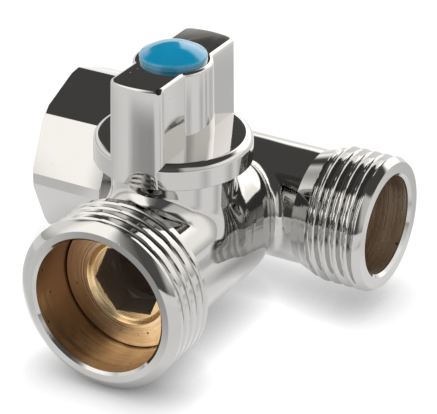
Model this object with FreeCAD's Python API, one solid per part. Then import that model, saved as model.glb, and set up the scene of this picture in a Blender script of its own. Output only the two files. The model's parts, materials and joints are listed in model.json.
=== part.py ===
import FreeCAD, Part
import math
import os

from FreeCAD import Placement, Rotation, Vector

# Washing machine valve: a chrome plated brass tee. Water comes in at the octagonal female end, goes
# straight through to a half inch male end, and a ball valve with a quarter turn handle lets it out at a
# three quarter inch male side branch. Millimetres. The origin is the centre of the inlet's mouth, +X runs
# along the straight way, -Y along the branch and +Z along the stem, up to the handle. It is drawn open.

# Pipe threads: the male ones are plain at their crests, the female one is plain at its inner radius
half_inch_crest_r = 10.48
half_inch_socket_r = 9.32
three_quarter_crest_r = 13.22

# Reach of each end from the crossing of the run and the branch, and of the stem along the branch
inlet_reach = 30.2
outlet_reach = 25.0
branch_reach = 43.2
stem_offset = 21.5

# Inlet: an octagonal socket with a corner up, bevelled at both ends and trimmed at the forging's parting line
octagon_sides = 8
octagon_flats = 25.6
octagon_length = 12.4
octagon_face_r = 13.3
octagon_bevel = 0.45
parting_trim = 0.37
socket_depth = 12.0
socket_bevel = 0.4

# Run and half inch outlet
run_pipe_r = 9.04
run_bore_r = 7.69
outlet_thread_length = 12.0
outlet_back_taper = 4.0
outlet_face_r = 9.85
outlet_face_bevel = 1.0
outlet_bore_bevel = 0.45

# Branch and three quarter inch outlet
branch_pipe_r = 10.58
branch_round = 12.0
branch_bore_r = 10.4
branch_thread_length = 8.7
branch_back_taper = 2.6
branch_face_r = 11.82
branch_face_bevel = 1.1
branch_bore_bevel = 0.4

# Forged blends where the branch meets the run and where the neck stands on the branch
tee_blend_r = 1.8
neck_blend_r = 1.2

# Neck and bonnet that carry the stem, and the lug that stops the handle
neck_r = 9.1
neck_gap = 0.45
bonnet_r = 6.6
bonnet_rise = 2.6
stop_lug_angle = 180.0
stop_lug_half_angle = 12.0
stop_lug_inner_r = 7.3
stop_lug_outer_r = 8.9
stop_lug_rise = 2.2

# Ball, its port and the slot across its top
ball_r = 8.6
ball_clearance = 0.4
port_r = 5.0
slot_width = 3.2
slot_floor = 5.7

# Seat rings, and the screwed retainer that holds them in
seat_reach = 8.3
seat_front = 5.2
seat_bore_r = 5.2
seat_clearance = 0.05
seat_touch = 0.02
retainer_length = 5.2
retainer_head_length = 1.4
retainer_head_clearance = 0.15
retainer_shank_r = 9.2
retainer_clearance = 0.05
key_flats = 10.0
key_turn = 8.0
key_countersink_r = 6.7
key_countersink = 0.7

# Stem, its seals and its square for the handle
stem_r = 4.4
stem_clearance = 0.05
collar_r = 5.6
collar_clearance = 0.3
collar_bottom = 9.1
collar_thickness = 1.5
washer_thickness = 1.0
washer_clearance = 0.03
tang_length = 8.0
tang_clearance = 0.1
tang_floor_gap = 0.2
seal_groove_r = 3.2
seal_groove_width = 1.5
seal_pitch = 2.4
seal_squeeze_gap = 0.02
shoulder_gap = 0.3
square_flats = 6.2
square_turn = 45.0
square_clearance = 0.05
square_length = 6.8

# Handle: a round flange with a hollow skirt, a tapered grip bar across it and a round core in the middle
flange_bottom = 14.85
flange_top = 18.75
flange_r = 11.67
flange_edge_r = 1.2
skirt_wall = 1.37
ceiling_thickness = 1.25
grip_top = 30.3
grip_inset = 0.05
grip_end_r = 11.55
grip_foot_width = 8.8
grip_top_width = 8.45
grip_corner_r = 1.3
grip_edge_r = 0.6
core_foot_r = 6.05
core_top_r = 5.85
core_corner_r = 0.6
stop_gap_angle = 1.5
stop_ring_clearance = 0.4

# Handle screw and the blue index cap over it
web_thickness = 1.7
screw_r = 2.0
screw_thread_clearance = 0.05
screw_hole_clearance = 0.15
screw_length = 9.0
screw_end_gap = 0.8
screw_head_r = 3.6
screw_head_height = 2.2
screw_head_round = 1.1
screw_slot_width = 1.0
screw_slot_depth = 1.0
cap_rim_r = 4.92
cap_rim_height = 0.55
cap_edge = 0.35
cap_dome_height = 1.45
cap_plug_r = 4.5
cap_plug_clearance = 0.1
cap_plug_depth = 1.7
cap_wall = 0.7

# Working values: how far one shape runs into or past another, how near counts as the same place, the least
# angle that counts as a crease, the handle's travel, and the middle of a quarter arc
overrun = 1.0
same_place = 0.01
crease_angle = 5.0
handle_travel = 90.0
arc_middle = math.sqrt(0.5)

# Directions and main points
along_run = Vector(1, 0, 0)
along_branch = Vector(0, -1, 0)
upward = Vector(0, 0, 1)
crossing = Vector(inlet_reach, 0, 0)
ball_centre = crossing + along_branch * stem_offset
stem_foot = Vector(ball_centre.x, ball_centre.y, 0)

# Levels along the stem, worked out from the sizes above
neck_top = flange_bottom - neck_gap
bonnet_top = neck_top + bonnet_rise
ceiling = flange_top - ceiling_thickness
collar_top = collar_bottom + collar_thickness
washer_top = collar_top + washer_thickness
shoulder_top = ceiling - shoulder_gap
stem_top = ceiling + square_length
web_top = stem_top + web_thickness
stem_hole_r = stem_r + stem_clearance
chamber_r = ball_r + ball_clearance
skirt_r = flange_r - skirt_wall


def turned(profile, base, direction):
    """A turned solid. The profile lists (distance along the axis, radius)."""
    points = [Vector(radius, 0, along) for along, radius in profile]
    section = Part.Face(Part.makePolygon(points + points[:1]))
    solid = section.revolve(Vector(0, 0, 0), upward, 360)
    solid.Placement = Placement(base, Rotation(upward, direction))
    return solid


def rod(radius, start, end, base, direction):
    """A plain round bar between two distances along an axis."""
    return Part.makeCylinder(radius, end - start, base + direction * start, direction)


def ring(inner_r, outer_r, start, end, base, direction):
    """A plain round ring between two distances along an axis."""
    return turned([(start, inner_r), (start, outer_r), (end, outer_r), (end, inner_r)], base, direction)


def prism(sides, flats, start, end, base, direction, turn):
    """A regular prism of a given width across flats, with a corner turned from its first cross direction."""
    corner_r = flats / 2 / math.cos(math.pi / sides)
    corners = []
    for k in range(sides + 1):
        angle = math.radians(turn) + 2 * math.pi * k / sides
        corners.append(Vector(corner_r * math.cos(angle), corner_r * math.sin(angle), start))
    solid = Part.Face(Part.makePolygon(corners)).extrude(Vector(0, 0, end - start))
    solid.Placement = Placement(base, Rotation(upward, direction))
    return solid


def sector(inner_r, outer_r, bottom, top, from_angle, to_angle):
    """A part of a ring round the stem axis between two angles."""
    full = Part.makeCylinder(outer_r, top - bottom, Vector(0, 0, bottom), upward, to_angle - from_angle)
    full = full.cut(Part.makeCylinder(inner_r, top - bottom, Vector(0, 0, bottom)))
    full.Placement = Placement(stem_foot, Rotation(upward, from_angle))
    return full


def face_normal(face, point):
    """The outward normal of a face at a point on it."""
    u, v = face.Surface.parameter(point)
    return face.normalAt(u, v)


def creases(solid):
    """The sharp edges between two curved faces, where a forging has its blends."""
    found = []
    for edge in solid.Edges:
        faces = solid.ancestorsOfType(edge, Part.Face)
        if len(faces) != 2 or any(isinstance(f.Surface, Part.Plane) for f in faces):
            continue
        point = edge.valueAt((edge.FirstParameter + edge.LastParameter) / 2)
        first, second = (face_normal(f, point) for f in faces)
        if first.getAngle(second) > math.radians(crease_angle):
            found.append(edge)
    return found


def run_start():
    """Distance from the crossing back to the octagon's inner end."""
    return octagon_length - inlet_reach


def forged_tee():
    """The outside of the run and the branch, blended. The branch ends in a round back inside the run."""
    run = rod(run_pipe_r, run_start(), outlet_reach - outlet_thread_length, crossing, along_run)
    end = branch_reach - branch_thread_length
    back = branch_round - branch_pipe_r
    arc_mid = branch_pipe_r * arc_middle
    shoulder = Vector(branch_pipe_r, 0, branch_round)
    rim = Vector(branch_pipe_r, 0, end)
    edges = [
        Part.Arc(Vector(0, 0, back), Vector(arc_mid, 0, branch_round - arc_mid), shoulder),
        Part.LineSegment(shoulder, rim),
        Part.LineSegment(rim, Vector(0, 0, end)),
        Part.LineSegment(Vector(0, 0, end), Vector(0, 0, back)),
    ]
    section = Part.Face(Part.Wire([e.toShape() for e in edges]))
    branch = section.revolve(Vector(0, 0, 0), upward, 360)
    branch.Placement = Placement(crossing, Rotation(upward, along_branch))
    tee = run.fuse(branch)
    tee = tee.makeFillet(tee_blend_r, creases(tee))
    blended = tee.fuse(rod(neck_r, 0, neck_top, stem_foot, upward))
    neck_creases = [e for e in creases(blended) if on_neck(e)]
    return blended.makeFillet(neck_blend_r, neck_creases)


def on_neck(edge):
    """Whether an edge runs round the neck."""
    point = edge.valueAt((edge.FirstParameter + edge.LastParameter) / 2)
    return abs(math.hypot(point.x - stem_foot.x, point.y - stem_foot.y) - neck_r) < same_place


def octagonal_inlet():
    """The octagonal end: a prism, bevelled by turning and trimmed at the parting line."""
    corner_r = octagon_flats / 2 / math.cos(math.pi / octagon_sides)
    end = octagon_length
    outline = [(0, 0), (0, octagon_face_r), (octagon_bevel, corner_r), (end - octagon_bevel, corner_r),
               (end, octagon_face_r), (end, 0)]
    octagon = prism(octagon_sides, octagon_flats, 0, end, Vector(0, 0, 0), along_run, 0)
    octagon = octagon.common(turned(outline, Vector(0, 0, 0), along_run))
    width = 2 * (corner_r - parting_trim)
    slab = Part.makeBox(end, width, 2 * corner_r, Vector(0, -width / 2, -corner_r))
    return octagon.common(slab)


def male_end(crest_r, pipe_r, reach, length, back_taper, face_r, face_bevel, direction):
    """A male thread blank: bevelled at its face and tapered down to the pipe behind."""
    start = reach - length
    outline = [(start, 0), (start, pipe_r), (start + back_taper, crest_r), (reach - face_bevel, crest_r),
               (reach, face_r), (reach, 0)]
    return turned(outline, crossing, direction)


def bevelled_bore(radius, bevel, start, reach, base, direction):
    """A bore that opens with a small bevel at an outer face."""
    outline = [(start, 0), (start, radius), (reach - bevel, radius), (reach, radius + bevel), (reach, 0)]
    return turned(outline, base, direction)


def valve_body():
    """The forged and machined body."""
    body = forged_tee().fuse([
        octagonal_inlet(),
        male_end(half_inch_crest_r, run_pipe_r, outlet_reach, outlet_thread_length, outlet_back_taper,
                 outlet_face_r, outlet_face_bevel, along_run),
        male_end(three_quarter_crest_r, branch_pipe_r, branch_reach, branch_thread_length + branch_back_taper,
                 branch_back_taper, branch_face_r, branch_face_bevel, along_branch),
        rod(bonnet_r, neck_top - overrun, bonnet_top, stem_foot, upward),
        sector(stop_lug_inner_r, stop_lug_outer_r, neck_top - overrun, neck_top + stop_lug_rise,
               stop_lug_angle - stop_lug_half_angle, stop_lug_angle + stop_lug_half_angle),
    ]).removeSplitter()
    seat_floor = stem_offset - seat_reach
    retainer_start = stem_offset + seat_reach
    ledge = retainer_start + retainer_length - retainer_head_length
    return body.cut([
        bevelled_bore(half_inch_socket_r, socket_bevel, -socket_depth, 0, Vector(0, 0, 0), along_run * -1),
        bevelled_bore(run_bore_r, outlet_bore_bevel, socket_depth - inlet_reach, outlet_reach, crossing,
                      along_run),
        rod(port_r, 0, seat_floor, crossing, along_branch),
        rod(chamber_r, seat_floor, retainer_start, crossing, along_branch),
        rod(retainer_shank_r + retainer_clearance, retainer_start, ledge, crossing, along_branch),
        bevelled_bore(branch_bore_r, branch_bore_bevel, ledge, branch_reach, crossing, along_branch),
        rod(collar_r + collar_clearance, 0, washer_top, stem_foot, upward),
        rod(stem_hole_r, 0, bonnet_top, stem_foot, upward),
    ])


def ball():
    """The ball, with its port along the branch and a slot for the stem across its top."""
    sphere = Part.makeSphere(ball_r, ball_centre)
    port = rod(port_r, -ball_r, ball_r, ball_centre, along_branch)
    corner = ball_centre + Vector(-ball_r, -slot_width / 2, slot_floor)
    slot = Part.makeBox(2 * ball_r, slot_width, ball_r, corner)
    return sphere.cut([port, slot])


def seat(direction):
    """A soft seat ring on one side of the ball, hollowed to the ball's curve."""
    outer_r = chamber_r - seat_clearance
    blank = ring(seat_bore_r, outer_r, seat_front, seat_reach, ball_centre, direction)
    return blank.cut(Part.makeSphere(ball_r + seat_touch, ball_centre))


def seat_retainer():
    """The brass ring that screws in behind the outer seat, with a hexagonal key socket through it."""
    start = seat_reach
    end = seat_reach + retainer_length
    ledge = end - retainer_head_length
    head_r = branch_bore_r - retainer_head_clearance
    blank = turned([(start, 0), (start, retainer_shank_r), (ledge, retainer_shank_r), (ledge, head_r),
                    (end, head_r), (end, 0)], ball_centre, along_branch)
    key = prism(6, key_flats, start, end, ball_centre, along_branch, key_turn)
    sink_start = end - key_countersink
    countersink = turned([(sink_start, 0), (sink_start, key_countersink_r - key_countersink),
                          (end, key_countersink_r), (end, 0)], ball_centre, along_branch)
    return blank.cut([key, countersink])


def seal_heights():
    """The middle of each stem seal, the pair centred in the bonnet's hole."""
    middle = (washer_top + bonnet_top) / 2
    return middle - seal_pitch / 2, middle + seal_pitch / 2


def stem():
    """The stem: a tang in the ball's slot, a collar that can't blow out, seal grooves and a square."""
    body = rod(stem_r, collar_bottom, shoulder_top, stem_foot, upward)
    tang_width = slot_width - 2 * tang_clearance
    tang_bottom = slot_floor + tang_floor_gap
    tang = Part.makeBox(tang_length, tang_width, collar_bottom - tang_bottom,
                        stem_foot + Vector(-tang_length / 2, -tang_width / 2, tang_bottom))
    body = body.fuse([
        rod(collar_r, collar_bottom, collar_top, stem_foot, upward),
        tang,
        prism(4, square_flats, shoulder_top, stem_top, stem_foot, upward, square_turn),
    ]).removeSplitter()
    half = seal_groove_width / 2
    grooves = [ring(seal_groove_r, stem_r + stem_clearance, z - half, z + half, stem_foot, upward)
               for z in seal_heights()]
    tapped = rod(screw_r, web_top - screw_length - screw_end_gap, stem_top, stem_foot, upward)
    return body.cut(grooves + [tapped])


def stem_seal(height):
    """A square rubber ring between the floor of its groove and the bonnet's hole."""
    half = seal_groove_width / 2 - seal_squeeze_gap
    return ring(seal_groove_r + seal_squeeze_gap, stem_hole_r - seal_squeeze_gap, height - half, height + half,
                stem_foot, upward)


def thrust_washer():
    """The slippery washer between the stem's collar and the body."""
    return ring(stem_hole_r + washer_clearance, collar_r, collar_top, washer_top, stem_foot, upward)


def grip():
    """The bar and the round core above the flange, both with draft, with rounded corners and top edges."""
    foot = ceiling
    rise = grip_top - foot
    long_half = flange_r + overrun
    sections = []
    for width, z in ((grip_foot_width, foot), (grip_top_width, grip_top)):
        half = width / 2
        corners = [Vector(-half, -long_half, z), Vector(half, -long_half, z), Vector(half, long_half, z),
                   Vector(-half, long_half, z)]
        sections.append(Part.makePolygon(corners + corners[:1]))
    bar = Part.makeLoft(sections, True, True)
    bar = bar.common(Part.makeCone(flange_r - grip_inset, grip_end_r, rise, Vector(0, 0, foot)))
    bar = bar.makeFillet(grip_corner_r, upright_edges(bar))
    bar = bar.fuse(Part.makeCone(core_foot_r, core_top_r, rise, Vector(0, 0, foot)))
    corners = [e for e in upright_edges(bar) if core_corner(e)]
    bar = bar.makeFillet(core_corner_r, corners)
    top_edges = [e for e in bar.Edges if min(v.Z for v in e.Vertexes) > grip_top - same_place]
    return bar.makeFillet(grip_edge_r, top_edges)


def upright_edges(solid):
    """The edges that rise from foot to top between two differing faces."""
    return [e for e in solid.Edges
            if len(solid.ancestorsOfType(e, Part.Face)) == 2
            and len(e.Vertexes) == 2
            and abs(e.Vertexes[0].Z - e.Vertexes[1].Z) > same_place]


def core_corner(edge):
    """Whether an upright edge lies where the core meets the bar."""
    low, high = sorted((core_foot_r, core_top_r))
    return all(low - same_place < math.hypot(v.X, v.Y) < high + same_place for v in edge.Vertexes)


def flange_and_skirt():
    """The round flange with a rounded top edge, hollow underneath."""
    round_start = flange_top - flange_edge_r
    round_mid = flange_edge_r * arc_middle
    corners = [Vector(0, 0, flange_bottom), Vector(flange_r, 0, flange_bottom),
               Vector(flange_r, 0, round_start)]
    edge_top = Vector(flange_r - flange_edge_r, 0, flange_top)
    edge_mid = Vector(flange_r - flange_edge_r + round_mid, 0, round_start + round_mid)
    axis_top = Vector(0, 0, flange_top)
    edges = [Part.LineSegment(corners[0], corners[1]), Part.LineSegment(corners[1], corners[2]),
             Part.Arc(corners[2], edge_mid, edge_top), Part.LineSegment(edge_top, axis_top),
             Part.LineSegment(axis_top, corners[0])]
    section = Part.Face(Part.Wire([e.toShape() for e in edges]))
    return section.revolve(Vector(0, 0, 0), upward, 360)


def handle():
    """The cast handle: flange, grip, skirt with a stop ring, square for the stem and recess for the cap."""
    solid = flange_and_skirt().fuse(grip()).removeSplitter()
    solid.Placement = Placement(stem_foot, Rotation())
    solid = solid.cut([
        rod(skirt_r, flange_bottom, ceiling, stem_foot, upward),
        prism(4, square_flats + 2 * square_clearance, ceiling, stem_top, stem_foot, upward,
              square_turn),
        rod(screw_r + screw_hole_clearance, stem_top, web_top, stem_foot, upward),
        rod(cap_plug_r + cap_plug_clearance, web_top, grip_top, stem_foot, upward),
    ])
    notch_side = stop_lug_half_angle + stop_gap_angle
    stop_ring = sector(bonnet_r + stop_ring_clearance, skirt_r, neck_top + stop_ring_clearance, ceiling,
                       stop_lug_angle + handle_travel + notch_side, stop_lug_angle + 360 - notch_side)
    return solid.fuse(stop_ring).removeSplitter()


def handle_screw():
    """The slotted pan head screw that holds the handle on the stem."""
    shank_r = screw_r - screw_thread_clearance
    shank = rod(shank_r, web_top - screw_length, web_top, stem_foot, upward)
    head_top = web_top + screw_head_height
    head = rod(screw_head_r, web_top, head_top, stem_foot, upward)
    top_edges = [e for e in head.Edges if e.BoundBox.ZMin > head_top - same_place]
    head = head.makeFillet(screw_head_round, top_edges)
    corner = stem_foot + Vector(-screw_head_r, -screw_slot_width / 2, head_top - screw_slot_depth)
    slot = Part.makeBox(2 * screw_head_r, screw_slot_width, screw_slot_depth, corner)
    return shank.fuse(head).cut(slot)


def index_cap():
    """The domed blue cap: a rim on the grip's top and a hollow plug in the recess below."""
    rim_top = grip_top + cap_rim_height
    dome_r = cap_rim_r - cap_edge
    crown = Vector(0, 0, rim_top + cap_edge + cap_dome_height)
    dome_foot = Vector(dome_r, 0, rim_top + cap_edge)
    sphere_r = (dome_r ** 2 + cap_dome_height ** 2) / (2 * cap_dome_height)
    half_angle = math.asin(dome_r / sphere_r) / 2
    dome_mid = Vector(sphere_r * math.sin(half_angle), 0, crown.z - sphere_r * (1 - math.cos(half_angle)))
    plug_bottom = grip_top - cap_plug_depth
    inner_r = cap_plug_r - cap_wall
    corners = [Vector(0, 0, grip_top), Vector(inner_r, 0, grip_top), Vector(inner_r, 0, plug_bottom),
               Vector(cap_plug_r, 0, plug_bottom), Vector(cap_plug_r, 0, grip_top),
               Vector(cap_rim_r, 0, grip_top), Vector(cap_rim_r, 0, rim_top), dome_foot]
    edges = [Part.LineSegment(a, b) for a, b in zip(corners, corners[1:])]
    edges += [Part.Arc(dome_foot, dome_mid, crown), Part.LineSegment(crown, corners[0])]
    section = Part.Face(Part.Wire([e.toShape() for e in edges]))
    cap = section.revolve(Vector(0, 0, 0), upward, 360)
    cap.Placement = Placement(stem_foot, Rotation())
    return cap


def pieces():
    """Every piece of the valve by name."""
    lower_seal, upper_seal = seal_heights()
    return {
        "valve_body": valve_body(),
        "ball": ball(),
        "inner_seat": seat(along_branch * -1),
        "outer_seat": seat(along_branch),
        "seat_retainer": seat_retainer(),
        "stem": stem(),
        "lower_stem_seal": stem_seal(lower_seal),
        "upper_stem_seal": stem_seal(upper_seal),
        "thrust_washer": thrust_washer(),
        "handle": handle(),
        "handle_screw": handle_screw(),
        "index_cap": index_cap(),
    }


os.makedirs("parts", exist_ok=True)
for name, shape in pieces().items():
    shape.exportStep("parts/" + name + ".step")
    print(name, shape.isValid(), len(shape.Solids), round(shape.Volume, 2))
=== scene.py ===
import json
import math

import bpy
import numpy as np
from mathutils import Matrix, Vector


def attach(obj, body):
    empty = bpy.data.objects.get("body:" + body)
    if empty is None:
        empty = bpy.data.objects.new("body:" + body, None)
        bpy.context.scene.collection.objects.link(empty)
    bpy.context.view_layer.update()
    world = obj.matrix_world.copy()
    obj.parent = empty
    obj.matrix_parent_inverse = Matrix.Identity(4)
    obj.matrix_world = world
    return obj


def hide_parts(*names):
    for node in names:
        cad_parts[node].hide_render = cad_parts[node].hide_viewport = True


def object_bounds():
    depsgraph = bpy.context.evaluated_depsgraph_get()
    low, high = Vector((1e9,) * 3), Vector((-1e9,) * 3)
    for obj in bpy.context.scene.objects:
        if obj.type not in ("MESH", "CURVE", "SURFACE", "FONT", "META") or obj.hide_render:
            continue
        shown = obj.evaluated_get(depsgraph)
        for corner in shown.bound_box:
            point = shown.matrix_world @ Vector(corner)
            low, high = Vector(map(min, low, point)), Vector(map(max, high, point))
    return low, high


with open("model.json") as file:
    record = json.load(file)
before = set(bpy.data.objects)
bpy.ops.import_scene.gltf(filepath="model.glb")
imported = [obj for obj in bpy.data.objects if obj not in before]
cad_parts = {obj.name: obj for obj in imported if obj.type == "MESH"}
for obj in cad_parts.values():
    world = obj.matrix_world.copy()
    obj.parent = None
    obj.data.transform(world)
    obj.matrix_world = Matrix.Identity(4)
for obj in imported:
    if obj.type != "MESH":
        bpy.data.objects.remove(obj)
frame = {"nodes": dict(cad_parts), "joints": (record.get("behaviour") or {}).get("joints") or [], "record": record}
cad_box = [list(corner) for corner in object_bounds()]

# Chrome plated tee valve for a washing machine. Lengths below are millimetres in the part's own frame: the
# origin is the centre of the inlet's mouth, +X runs along the straight way, -Y along the side branch and +Z
# up the stem. Meshes are made in millimetres and become metres when they are put into the scene.
MM = 0.001
mounts = {mount["name"]: mount for mount in frame["record"]["mounts"]}
stem_x, stem_y, _ = (value / MM for value in frame["joints"][0]["pos_m"])

# Ends of the tee
half_inch_crest_r = mounts["run_outlet_thread"]["dims"]["r_mm"]
three_quarter_crest_r = mounts["branch_outlet_thread"]["dims"]["r_mm"]
inlet_thread_r = mounts["inlet_thread"]["dims"]["r_mm"]
outlet_face = mounts["run_outlet_face"]["pos_m"][0] / MM
branch_face = -mounts["branch_outlet_face"]["pos_m"][1] / MM

# Pipe threads. The root is flat up to one share of half a pitch from the groove's middle, and the crest is
# flat from another. The near thread has worn, wide crests.
thread_pitch = 1.814
thread_step = 0.1
tap_step = 0.15
tap_segments = 96
taper_sunk = 0.25
half_inch_form = {"Depth": 0.9 * MM, "Root to": 0.12, "Crest from": 0.88}
three_quarter_form = {"Depth": 0.6 * MM, "Root to": 0.04, "Crest from": 0.48}
outlet_groove = 22.7
branch_groove = 41.0

# Shading: how many sides a turned piece has, and the angles in degrees above which an edge looks sharp
turn_segments = 192
edge_crease = 30.0
thread_crease = 22.0
octagon_crease = 20.0

# Forged tee: pipes, blends, and the shallow waves that hand polishing leaves. The upper half of the branch
# is a little squarer than a circle, whose squareness would be 2. A lean limits how far a blend may shrink.
run_pipe_r = 9.04
branch_pipe_r = 10.58
branch_round = 12.0
branch_squareness = 2.5
neck_r = 9.1
neck_top = 14.4
tee_blend_r = 1.8
neck_blend_r = 2.8
tee_lean = 0.99
neck_lean = 0.45
polish_wave_height = 0.004
polish_wave_length = 7.5
forging_step = 0.5
forging_margin = 1.0
forging_rounds = 8
outlet_lap = 0.8
branch_lap = 1.3
tiny = 1e-9

# Tools that cut or join reach this far past the surface they work on
overrun = 1.0

# Octagonal inlet
octagon_flats = 25.6
octagon_length = 12.4
octagon_face_r = 13.3
octagon_bevel = 0.45
octagon_edge_r = 0.4
octagon_edge_steps = 3
parting_trim = 0.37
socket_depth = 12.0

# Half inch outlet and the straight way
outlet_length = 12.0
outlet_back_taper = 4.0
outlet_face_r = 9.85
outlet_face_bevel = 1.0
outlet_bevel_bulge = 0.04
outlet_bore_bevel = 0.45
outlet_plain_ring = 1.1
run_bore_r = 7.69

# Three quarter inch outlet and the branch's stepped bore
branch_thread_length = 8.7
branch_back_taper = 2.6
branch_face_r = 11.82
branch_face_bevel = 1.1
branch_bevel_bulge = 0.07
branch_bore_bevel = 0.4
branch_plain_ring = 1.35
branch_bore_r = 10.4
port_r = 5.0
chamber_r = 9.0
seat_reach = 8.3

# Seat retainer and its key socket
retainer_length = 5.2
retainer_head_length = 1.4
retainer_head_r = 10.25
retainer_shank_r = 9.2
retainer_clearance = 0.05
retainer_edge = 0.15
key_sides = 6
key_flats = 10.0
key_turn = 8.0
key_countersink_r = 6.7
key_countersink = 0.7

# Bonnet, stop lug and stem hole
bonnet_r = 6.6
bonnet_rise = 2.6
stop_lug_angle = 180.0
stop_lug_half_angle = 12.0
stop_lug_radii = (7.3, 8.9)
stop_lug_rise = 2.2
stop_lug_steps = 8
stem_hole_r = 4.45
collar_hole_r = 5.9
collar_hole_top = 11.6

# Ball
ball_r = 8.6
ball_steps = 60
ball_pole_angle = 4.0
slot_width = 3.2
slot_floor = 5.7

# Handle. Sizes in pairs are at the ceiling of the skirt and at the top of the grip.
flange_bottom = 14.85
flange_top = 18.75
flange_r = 11.67
flange_edge_r = 1.2
flange_bevel = 0.15
skirt_r = 10.3
ceiling = 17.5
grip_foot = 15.0
grip_top = 30.3
grip_end_r = (11.7, 11.55)
grip_half_width = (4.4, 4.225)
core_r = (6.05, 5.85)
grip_corner_r = 1.3
core_corner_r = 0.6
grip_edge_r = 0.6
grip_edge_steps = 7
edge_steps = 10
cap_recess_r = 4.6
cap_recess_floor = 26.0

# Chip in the plate at one corner of the grip
chip_r = 0.6
chip_sides = 5
chip_end_angle = 40.0
chip_place = (3.85, -10.65, 30.15)

# Index cap
cap_rim_r = 4.92
cap_rim_height = 0.48
cap_edge_r = 0.42
cap_edge_steps = 8
cap_crown = 2.33
cap_plug_r = 4.5
cap_plug_depth = 1.7
dome_steps = 16
dome_start_share = 0.97
dome_pole_angle = 1.0

# Finishes: the widths and depths of what the eye sees on them. A lathe's real marks are about 0.1 mm apart,
# so tool_groove is drawn twice as wide to show.
haze_width = 4.0
pin_hole_spacing = 2.2
pin_hole_depth = 0.02
tool_ring = 0.9
tool_groove = 0.22
tool_groove_depth = 0.06
tarnish_width = 5.0
speck_spacing = 2.4
mould_cloud = 3.0
mould_grain_depth = 0.02
cap_cloud = 4.0
# Painted light on the cap: paler from the first distance from the stem to the second, for light shining through
# its thin edge
cap_rim_light_from = 4.5
cap_rim_light_to = 4.9
zinc_mottle = 0.8

# Floor: a white sheet a little larger than the picture, and its share of matt paint, of even light and of
# contact shadow
sheet_centre = (10.7, 27.4, 0.0)
sheet_half = (38.0, 79.0, 1000.0)
sheet_fade = 1.2
floor_matt = 0.1
floor_glow = 0.98
floor_half = 4000.0
floor_level = cad_box[0][2] / MM - 0.02
shadow_reach = 7.0
shadow_depth = 0.9
shadow_samples = 8

# Round the sheet, painted light and shade on the floor for the chrome to reflect: its brightness by compass
# direction from the stem, in degrees from +Y towards +X. It fades to white between two distances from the stem.
painted_floor_light_reach = (113.0, 150.0)
table = ((-180, 0.42), (-166, 0.45), (-156, 0.55), (-146, 1.0), (-134, 0.95), (-116, 0.78), (-60, 0.85),
         (0, 0.9), (16, 0.72), (33, 0.72), (41, 1.0), (49, 0.62), (58, 1.0), (68, 0.65), (80, 1.0), (97, 1.0),
         (107, 0.7), (118, 0.95), (164, 0.95), (176, 0.45), (180, 0.42))

# White screens round the table: their brightness, and the height of their top edges in degrees, by compass
# direction in the same way
screens = ((-180, 0.2), (-172, 0.4), (-159, 1.6), (-132, 1.6), (-116, 1.1), (-62, 1.1), (-50, 1.5),
           (-27, 1.6), (-19, 2.2), (20, 2.2), (34, 1.35), (86, 1.3), (104, 0.8), (133, 0.7), (143, 0.03),
           (167, 0.03), (180, 0.2))
screen_tops = ((-180, 52), (-165, 60), (-135, 60), (-116, 34), (-62, 32), (-50, 15), (-27, 15), (-19, 42),
               (20, 42), (40, 36), (100, 40), (122, 58), (180, 52))
screen_edge = 12.0
screen_tint = "#fffdf9"
brightest = 2.2
horizon_share = 0.5
horizon_fade = 14.0
highest = 90.0
room_light = 0.085

# Lamp over the table, in metres
top_light_size = 0.8
top_light_height = 1.0
top_light_level = 0.6

# The photograph's view: turn round the part, look down and roll in degrees, place, and focal length in pixels
image_width = 437
view_turn = 29.07
view_down = 27.48
view_roll = 0.47
view_place = (190.28, -295.84, 171.57)
view_focal_px = 2433.26
sensor_width = 36.0
nearest_seen = 10.0


# Helpers


def colour(code):
    """A linear colour from an sRGB hex value."""
    parts = [int(code[k:k + 2], 16) / 255 for k in (1, 3, 5)]
    return [p / 12.92 if p <= 0.04045 else ((p + 0.055) / 1.055) ** 2.4 for p in parts] + [1.0]


def node(tree, kind, inputs=None, **settings):
    """Adds a node with its settings. Each input is set, or linked to a socket or a node's first output."""
    new = tree.nodes.new(kind)
    for name, value in settings.items():
        setattr(new, name, value)
    for name, value in (inputs or {}).items():
        if isinstance(value, bpy.types.Node):
            value = next(socket for socket in value.outputs if socket.enabled)
        if isinstance(value, bpy.types.NodeSocket):
            tree.links.new(value, new.inputs[name])
        else:
            new.inputs[name].default_value = value
    return new


def material(name):
    """An empty node material."""
    made = bpy.data.materials.new(name)
    made.use_nodes = True
    made.node_tree.nodes.clear()
    return made


def surface(made, **inputs):
    """Ends a material in one shader, its inputs named with underscores for spaces."""
    tree = made.node_tree
    values = {name.replace("_", " "): value for name, value in inputs.items()}
    shader = node(tree, "ShaderNodeBsdfPrincipled", values)
    node(tree, "ShaderNodeOutputMaterial", {"Surface": shader})
    return made


# Materials


def chrome_plate():
    """Bright chrome on polished brass: a neutral mirror, with a faint haze in patches and a few pin holes."""
    made = material("chrome_plate_polished")
    tree = made.node_tree
    place = node(tree, "ShaderNodeTexCoord").outputs["Object"]
    haze = node(tree, "ShaderNodeTexNoise", {"Vector": place, "Scale": 1 / (haze_width * MM), "Detail": 4.0})
    rough = node(tree, "ShaderNodeMapRange", {"Value": haze, "From Min": 0.4, "From Max": 0.75,
                                              "To Min": 0.045, "To Max": 0.11})
    holes = node(tree, "ShaderNodeTexVoronoi", {"Vector": place, "Scale": 1 / (pin_hole_spacing * MM)})
    depth = node(tree, "ShaderNodeMapRange", {"Value": holes, "From Min": 0.03, "From Max": 0.07})
    dents = node(tree, "ShaderNodeBump", {"Height": depth, "Strength": 0.5, "Distance": pin_hole_depth * MM})
    return surface(made, Base_Color=colour("#c2c1bf"), Metallic=1.0, Roughness=rough, Normal=dents)


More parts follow.
